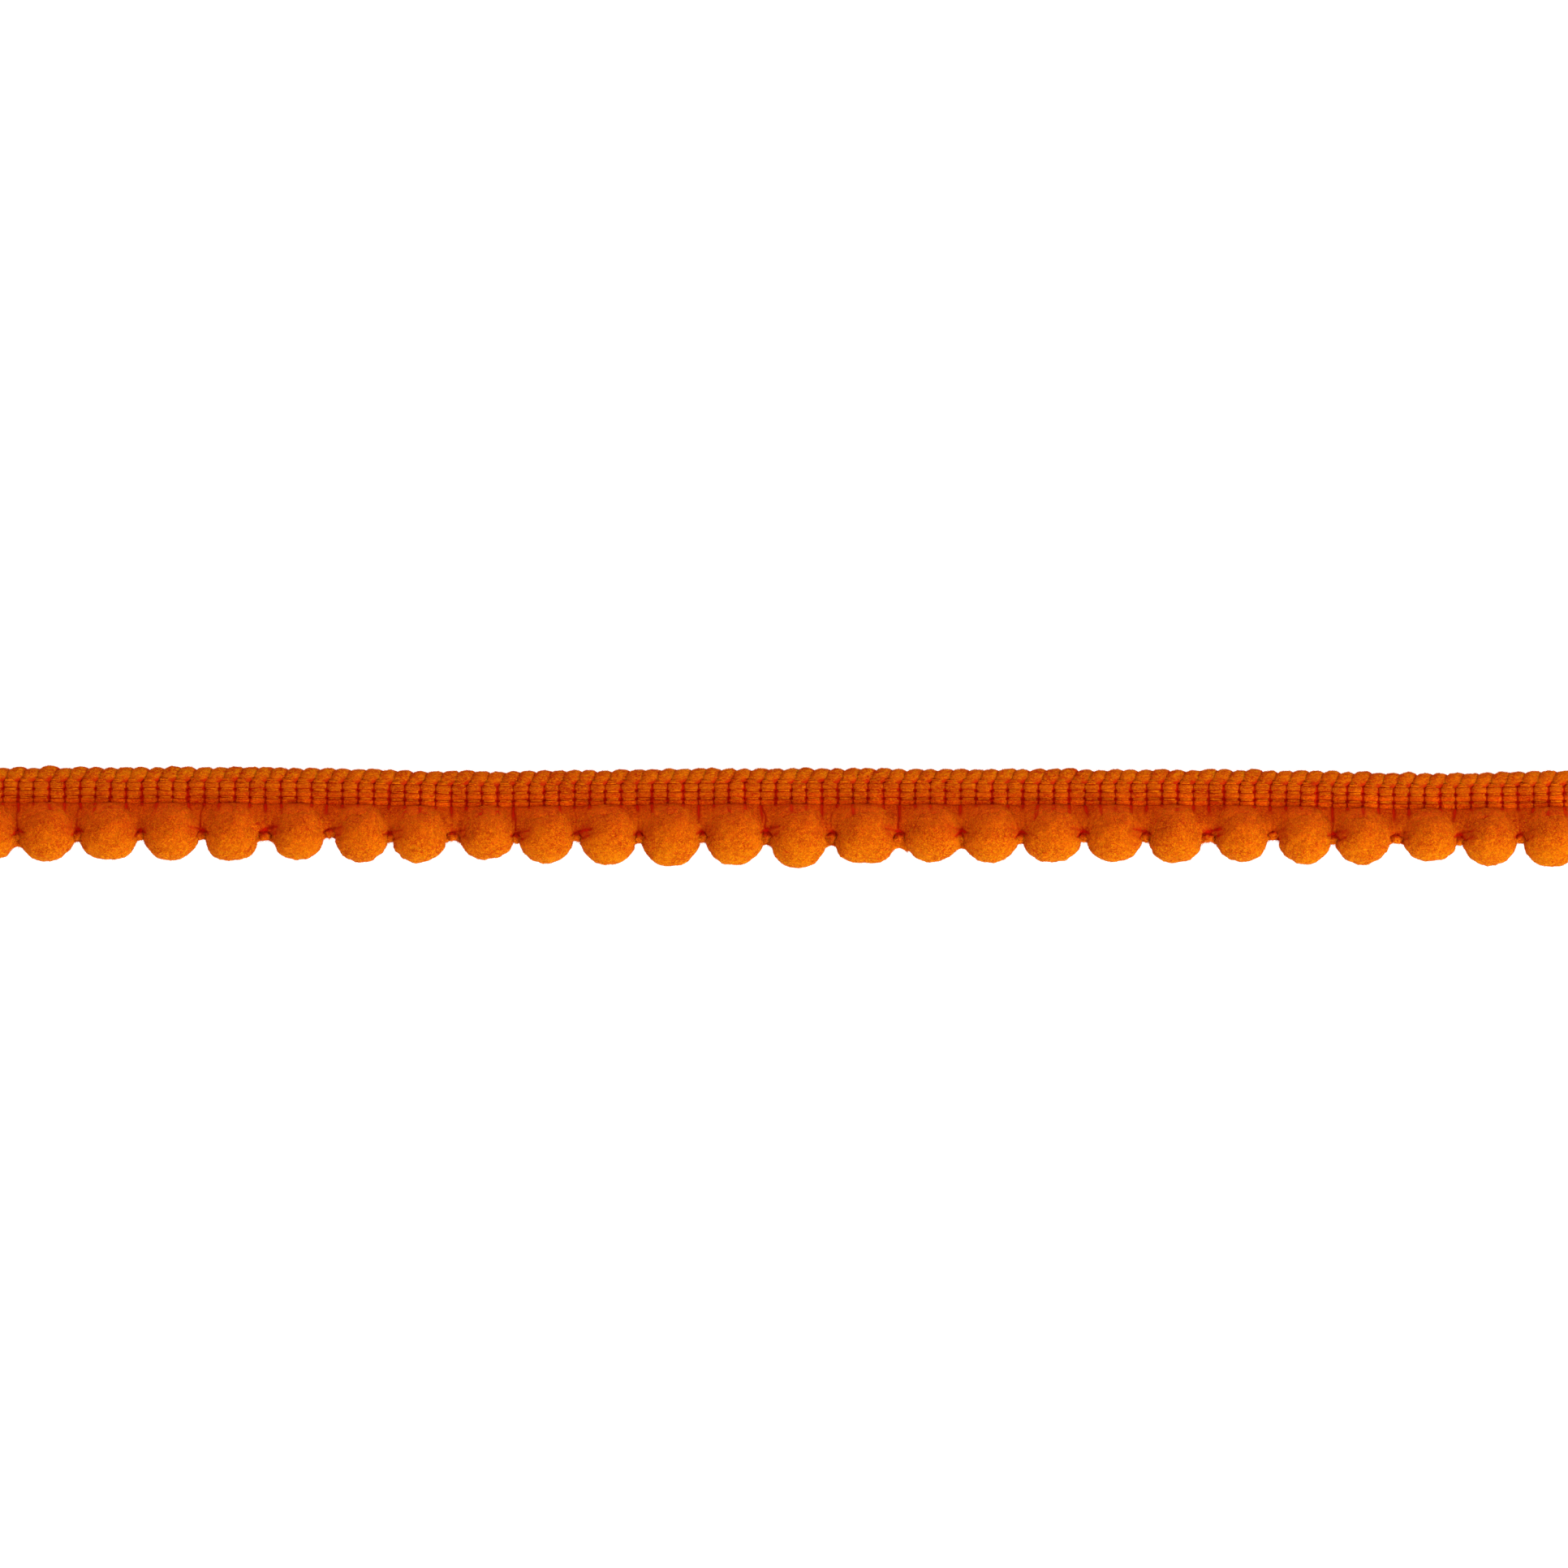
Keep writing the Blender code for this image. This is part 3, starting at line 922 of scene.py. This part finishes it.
# A step through the noise from ball to ball, so that no two have the same lumps.
LUMP_STEP = 7
FOLD_DEPTH = 0.22 * MM
FOLD_SHADE = 0.75
# Heights on the unit sphere between which the folds set in, as the back has none.
FOLDS_SET_IN = (-0.2, 0.1)


def ball_point(unit, number):
    """Where a point of a unit sphere lies on a ball, and its depth of painted crease shade."""
    spread = max(math.hypot(unit.x, unit.y), NEXT_TO_NOTHING)
    across, along = unit.x / spread, unit.y / spread
    point = Vector((across, along, 0)) * spread * ball_outline(number, across, along)
    point.z = unit.z * THREAD_HEIGHT - sag(spread, along)
    dimple = math.exp(-((point.y**2 + point.z**2) / DIMPLE_WIDTH**2))
    fold = knot_crease(middles[number] + point.x, THREAD_LINE + point.y)
    fold *= smooth(*FOLDS_SET_IN, unit.z)
    point.x -= math.copysign(DIMPLE_DEPTH * dimple, point.x)
    place = unit + Vector((LUMP_STEP * number, 0, 0))
    broad, small, fine = (height * noise.noise(place * grain) for height, grain in LUMPS)
    point += unit * (broad + small + (fine - FOLD_DEPTH * fold))
    point.z = max(point.z, -THREAD_HEIGHT)
    x, y = middles[number] + point.x, THREAD_LINE + point.y
    # The crease paints shade into the dimple, the knot's folds, the flank beside the knot and round
    # the knot.
    crease = dimple + FOLD_SHADE * fold + shade_on_flank(x, y) + shade_round_knot(x, y)
    return point, min(1, crease)


print("kinds of lumps on a ball:", len(LUMPS))

# %% Balls
SPHERE_RINGS = 40
SPHERE_SIDES = 64
RING_CROWDING = 0.14
POINTS_AT_MOST = 10_000


def face_rank(face):
    """A number that sorts faces by the points they join."""
    first, second, third = sorted(vertex.index for vertex in face.verts)[:3]
    return (first * POINTS_AT_MOST + second) * POINTS_AT_MOST + third


balls = []
poles_along = Matrix.Rotation(math.pi / 2, 4, "Y")
for number in range(BALL_COUNT):
    bm = bmesh.new()
    crease = bm.verts.layers.float.new("crease")
    bmesh.ops.create_uvsphere(
        bm, u_segments=SPHERE_SIDES, v_segments=SPHERE_RINGS, radius=1, matrix=poles_along
    )
    # The operator's faces come in another order each run, and fuzz is sown face by face.
    bm.verts.index_update()
    bm.faces.sort(key=face_rank)
    middle = ball_facts(number)[0]
    home = Vector((middle, THREAD_LINE + sway(middle), THREAD_HEIGHT))
    for vertex in bm.verts:
        from_pole = math.acos(max(-1, min(1, vertex.co.x)))
        from_pole -= RING_CROWDING * math.sin(2 * from_pole)
        ring = Vector((0, vertex.co.y, vertex.co.z)).normalized() * math.sin(from_pole)
        point, vertex[crease] = ball_point(ring + Vector((math.cos(from_pole), 0, 0)), number)
        vertex.co = home + point
    ball = object_from(bm, f"felted_ball_{number + 1:02d}", felt)
    fuzz(ball, 33, 0.28 * MM, (1.3, 1.55), seed=100 + 5 * number)
    balls.append(ball)
print(len(balls), "balls of", len(balls[0].data.polygons), "faces")

# %% [markdown]
# ## The brushed web
#
# Below the heading the yarn is brushed out and drawn together on one thread. It makes a soft
# sheet that climbs from the heading to the middle of the balls, grooved where the columns
# part, with a deep seam above each knot. A cloth simulation would drape a sheet over the balls,
# but this one is held by its own yarn and keeps a known outline. So its height is a sum of
# plain functions: the climb, the balls beneath, the seams, and the furrows.

# %% The climb of the web
WEB_TOP = HEADING_TOP - HEADING_WIDTH + 0.15 * MM
WEB_LOW = 1.02 * MM
WEB_HIGH = 3.25 * MM
# Parts of the way from the heading, at 0, to the thread, at 1: where the sheet climbs, and
# where its lower edge turns down again, and by how much.
CLIMB = (-0.15, 0.80)
TURN_DOWN = (0.95, 1.3)
TURN_DEPTH = 0.7 * MM


def web_height(down):
    """Height of the smooth sheet, 0 down at the heading and 1 at the thread."""
    return mix(WEB_LOW, WEB_HIGH, smooth(*CLIMB, down)) - TURN_DEPTH * smooth(*TURN_DOWN, down)


print("web climbs from", WEB_LOW / MM, "to", WEB_HIGH / MM, "mm")

# %% The web over the balls
# Heights on a ball's face, above the thread, between which the sheet goes deeper under it.
DEEPENING = (1.0 * MM, 2.2 * MM)
# How far the sheet lies above a ball's face near the heading and towards its left, and below
# it further down.
OVER_BALL = 0.20 * MM
OVER_SLANT = 0.22
UNDER_BALL = 0.15 * MM
DEEPER_UNDER_BALL = 0.50 * MM
# Places above the thread line between which the sheet goes from under a ball to over it.
GOES_OVER = (0.9 * MM, -0.1 * MM)


def under_ball(x, y):
    """A height on the nearest ball's face near the heading, and under it further down."""
    number = nearest(x, middles)[0]
    height = ball_top(number, x, y)
    low, high = DEEPENING
    inside = smooth(THREAD_HEIGHT + low, THREAD_HEIGHT + high, height)
    below = UNDER_BALL + DEEPER_UNDER_BALL * inside
    aside = OVER_SLANT * (x - middles[number])
    return height + mix(OVER_BALL, -below, smooth(*GOES_OVER, y - aside))


def smooth_max(a, b, reach):
    """The larger of two heights, rounded where they are within reach of each other."""
    overlap = max(0, reach - abs(a - b))
    return max(a, b) + overlap**2 / (4 * reach)


print("two millimetres and three, rounded:", smooth_max(2, 3, 2), "mm")

# %% [markdown]
# Two kinds of lines run down the web. A seam stands above each knot, where the yarn of two
# balls meets. Furrows carry on the grooves between the heading's columns, and fade out. Both
# are bells across their line, the seams narrow and the furrows wide, and count as creases,
# which dents them in and paints them with shade.

# %% Seams and furrows
SEAM_HALF_WIDTH = 0.11 * MM
SEAM_DEPTH = 0.40 * MM
SEAM_WANDER = 0.12 * MM
SEAM_BESIDE_GAP = -0.10 * MM
SEAM_STRENGTHS = (0.08, 0.8)
# The seam reaches its lower place at this part of the way down, and starts and ends softly.
SEAM_LEANS_TO = 0.5
SEAM_STARTS = (-0.05, 0.15)
SEAM_ENDS = (0.3 * MM, 0.5 * MM)
FURROW_HALF_WIDTH = 0.20 * MM
FURROW_DEPTH = 0.20 * MM
FURROW_LENGTHS = (0.5 * MM, 3.0 * MM)
FURROW_LEAN = 1.5 * MM
FURROW_FADE = 0.4


def ripple(x, width, along, layer):
    """Smooth noise from -1 to 1, with waves of a width along the trim. Layers differ."""
    return noise.noise(Vector((x / width, along, layer)))


def bell(away, half_width):
    """1 on a line and falling softly to 0 away from it."""
    return math.exp(-((away / half_width) ** 2))


def seam_depth(x, y, down):
    """How deep the nearest seam is at a place, 0 to 1."""
    number = nearest(x, gaps)[0]
    wander = SEAM_WANDER * noise.noise(Vector((3 * down, 5 * number, 0)))
    lower_end = gaps[number] + SEAM_BESIDE_GAP
    away = x - mix(seam_tops[number], lower_end, smooth(0, SEAM_LEANS_TO, down)) - wander
    seam = bell(away, SEAM_HALF_WIDTH) * seam_strengths[number]
    return seam * smooth(*SEAM_STARTS, down) * smooth(*SEAM_ENDS, y - THREAD_LINE)


def furrow_depth(x, y, down):
    """How deep the nearest furrow is at a place, 0 to 1."""
    lean = FURROW_LEAN * ripple(x, 3 * MM, 0, 2) * down
    groove, aside = nearest(x - lean, groove_places)
    length = furrow_lengths[groove]
    return bell(aside, FURROW_HALF_WIDTH) * smooth(length, FURROW_FADE * length, WEB_TOP - y)


groove_places = [(a + b) / 2 for a, b in zip(column_places, column_places[1:])]
furrow_lengths = [random.uniform(0, 1) ** 1.5 for _ in groove_places]
furrow_lengths = [mix(*FURROW_LENGTHS, length) for length in furrow_lengths]
seam_tops = [groove_places[nearest(gap, groove_places)[0]] for gap in gaps]
seam_strengths = [mix(*SEAM_STRENGTHS, random.uniform(0, 1) ** 2) for _ in gaps]
print("longest furrow:", round(max(furrow_lengths) / MM, 2), "mm")

# %% Relief of the web
KNOT_FOLD_DEPTH = 0.35 * MM
# Brushed streaks and lumps: width along the trim, waves down the web, and height.
STREAKS = (0.35 * MM, 1.3, 0.10 * MM)
LUMPED = (1.6 * MM, 2.0, 0.12 * MM)
RELIEF_STARTS = (0, 0.2)
# How much of a crease, which is painted shade, each of these counts as.
FURROW_SHADE = 0.8
STREAK_SHADE = 0.15
UNDER_HEADING_SHADE = 0.06
UNDER_HEADING_TO = 0.35
# The broken dark line of painted shade where the web comes out from under the heading.
LINE_SHADE = 0.35
LINE_FADES = (0.10, 0.06)


def web_relief(x, y, down):
    """How far the seams, furrows and brushing lift or sink the sheet, and the painted crease shade
    there.
    """
    seam, furrow, fold = seam_depth(x, y, down), furrow_depth(x, y, down), knot_crease(x, y)
    streak = ripple(x, STREAKS[0], down * STREAKS[1], 4)
    lump = ripple(x, LUMPED[0], down * LUMPED[1], 9)
    height = smooth(*RELIEF_STARTS, down) * (STREAKS[2] * streak + LUMPED[2] * lump)
    height -= SEAM_DEPTH * seam + FURROW_DEPTH * furrow + KNOT_FOLD_DEPTH * fold
    line = LINE_SHADE * smooth(*LINE_FADES, down) * smooth(-0.3, 0.3, ripple(x, MM, 1, 1))
    crease = max(seam, FURROW_SHADE * furrow, FURROW_SHADE * fold, line)
    crease += UNDER_HEADING_SHADE * smooth(UNDER_HEADING_TO, 0, down) + STREAK_SHADE * max(0, -streak)
    return height, min(1, crease + shade_on_flank(x, y) + shade_round_knot(x, y))


print("streaks every", STREAKS[0] / MM, "mm or so")

# %% [markdown]
# The sheet itself is a grid rolled round a flat section, as for a yarn, so its lower edge comes
# out rounded and its back is closed. Its rows are crowded together at the seams, where the
# shape changes fastest, and its two cut ends are rounded off.

# %% Rows and sections of the web
WEB_END_REACH = 2.0 * MM
ROWS_PER_BALL = 60
ROW_CROWDING = 0.2
FACE_SHARES = [number / 28 for number in range(29)]
BACK_SHARES = [0.97, 0.85, 0.65, 0.4, 0.15]
sections = [(share, 1) for share in FACE_SHARES] + [(share, 0) for share in BACK_SHARES]
web_half_length = (heading_high.x - heading_low.x) / 2 - 0.2 * MM
spans = [-web_half_length, *gaps, web_half_length]


def crowded(share):
    """A place along the web, with the rows crowded together at the seams."""
    number = min(int(share * (len(spans) - 1)), len(spans) - 2)
    part = share * (len(spans) - 1) - number
    part -= ROW_CROWDING * math.sin(math.tau * part) / math.tau
    return mix(spans[number], spans[number + 1], part)


def end_share(x):
    """How near a place is to an end of the web, 0 away from it and 1 on it."""
    return min(1, max(0, 1 - (web_half_length - abs(x)) / WEB_END_REACH))


rows = ROWS_PER_BALL * (len(spans) - 1)
print(rows, "rows of", len(sections), "points")

# %% The web
# How far the sheet hangs below the thread after each ball of the repeat, in mm, and how much
# further beside the gap.
HANGING = (1.7, 1.17, 0.86, 0.8, 0.85, 0.5, 0.85, 0.58, 0.78, 0.65, 1.09, 1.06, 1.33, 1.41, 1.66)
NOTCH_ARCH = 0.35 * MM
NOTCH_REACH = 1.0 * MM
WEB_END_RISE = 3.6 * MM
WEB_THICKNESS = 0.75 * MM
# How much of its thickness the sheet keeps at its edges, and how squarely it thins towards them.
EDGE_SHARE = 0.5
EDGE_SQUARENESS = 6
WEB_TUCK = 0.25 * MM
BLEND_REACH = 1.3 * MM
# The sheet's back and the parts under a ball count as creases, so they grow no fuzz and are painted
# with shade.
HIDDEN_BELOW = 0.3 * MM
HIDDEN_CREASE = 0.5
BACK_CREASE = 0.3
ABOVE_TABLE = 0.02 * MM
BRUSHED_WAYS = ((-0.35, -1, 0.05), (0.35, -0.7, 0.35))
bm = bmesh.new()
crease = bm.verts.layers.float.new("crease")
bmesh.ops.create_grid(bm, x_segments=rows, y_segments=len(sections), size=1)
for vertex in bm.verts:
    x = crowded((vertex.co.x + 1) / 2)
    step = round((vertex.co.y + 1) / 2 * len(sections)) % len(sections)
    share, on_face = sections[step]
    gap_number, away = nearest(x, gaps)
    hanging = HANGING[gap_number % len(HANGING)] * MM
    hanging += NOTCH_ARCH * smooth(0, NOTCH_REACH, away)
    hanging -= WEB_END_RISE * (1 - math.sqrt(1 - end_share(x) ** 2))
    y = mix(WEB_TOP, THREAD_LINE - hanging, share)
    down = (WEB_TOP - y) / (WEB_TOP - THREAD_LINE)
    edge = math.sqrt(max(0, 1 - abs(2 * share - 1) ** EDGE_SQUARENESS))
    lift, depth = web_relief(x, y, down)
    z = web_height(down)
    if on_face:
        z = smooth_max(z, under_ball(x, y), BLEND_REACH) + lift
        z = mix(WEB_LOW, z, smooth(0, WEB_TUCK, WEB_TOP - y))
        if z < ball_top(nearest(x, middles)[0], x, y) - HIDDEN_BELOW:
            depth = max(depth, HIDDEN_CREASE)
    else:
        z -= WEB_THICKNESS * mix(EDGE_SHARE, 1, edge)
    vertex.co = (x, y + sway(x), max(z, ABOVE_TABLE))
    vertex[crease] = depth if on_face else BACK_CREASE
weld_and_close(bm)
web = object_from(bm, "brushed_web", felt)
fuzz(web, 11, 0.42 * MM, None, seed=3, brushed=BRUSHED_WAYS)
print("web:", len(web.data.polygons), "faces")

# %% [markdown]
# ## The gathering thread and its knots
#
# Between two balls the gathering thread loops round the brushed yarn and draws it into a small
# knot. The thread itself runs inside the balls and hardly shows, but the knots do. The loops of
# thread could be tied in full, but at this size they look like a lump of yarn with a shaded
# upper side. So each knot is a lumpy ball that sits on the web's lower edge, and the thread
# runs straight through the row as a curve.

# %% Knots
KNOT_HALF = Vector((0.60 * MM, 0.48 * MM, 0.50 * MM))
# A knot hangs this far below the thread at most, and its middle stays this far above the
# web's lower edge.
KNOT_BELOW = 0.55 * MM
KNOT_OVER_EDGE = 0.35 * MM
KNOT_HEIGHT = 2.95 * MM
KNOT_LUMP = 0.5
KNOT_LUMP_GRAIN = 1.6
KNOT_LUMP_STEP = 3
# The upper side is shaded between these heights on the unit sphere.
KNOT_SHADE = 0.6
KNOT_SHADE_BETWEEN = (0, 0.7)
bm = bmesh.new()
crease = bm.verts.layers.float.new("crease")
for number, gap in enumerate(gaps):
    made = bmesh.ops.create_icosphere(bm, subdivisions=3, radius=1)["verts"]
    below = min(KNOT_BELOW, HANGING[number % len(HANGING)] * MM - KNOT_OVER_EDGE)
    home = Vector((gap, THREAD_LINE - below + sway(gap), KNOT_HEIGHT))
    for vertex in made:
        place = vertex.co * KNOT_LUMP_GRAIN + Vector((number * KNOT_LUMP_STEP, 0, 0))
        lump = 1 + KNOT_LUMP * noise.noise(place)
        vertex[crease] = KNOT_SHADE * smooth(*KNOT_SHADE_BETWEEN, vertex.co.y)
        vertex.co = home + vertex.co * lump * KNOT_HALF
bmesh.ops.recalc_face_normals(bm, faces=bm.faces)
knots = object_from(bm, "gathering_knots", felt)
fuzz(knots, 20, 0.3 * MM, (1.0, 1.5), seed=5)
print(len(gaps), "knots")

# %% Gathering thread
GATHER_RADIUS = 0.055 * MM
GATHER_STEP = 0.5 * MM
LOOSE_END = 0.3 * MM
thread_end = (ends[0] - LOOSE_END, ends[1] + LOOSE_END)
steps = round((thread_end[1] - thread_end[0]) / GATHER_STEP)
line = []
for step in range(steps + 1):
    x = mix(*thread_end, step / steps)
    line.append((x, THREAD_LINE + sway(x), THREAD_HEIGHT))
gathering = thread_mesh("gathering_thread", [line], GATHER_RADIUS, 1, fine_thread)
print("gathering thread:", len(gathering.data.polygons), "faces")

# %% [markdown]
# ## What each piece stands for
#
# Every piece rides on the one body, and the solids of the frame that the pieces take the place
# of are hidden.

# %% Riding and replaced solids
for piece in (columns, loops, binders):
    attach(piece, "root")
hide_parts("heading")
for piece in (web, knots, *balls):
    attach(piece, "root")
for number, ball in enumerate(balls):
    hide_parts(f"pompom_{number + 1:02d}")
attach(gathering, "root")
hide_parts("binding_thread")
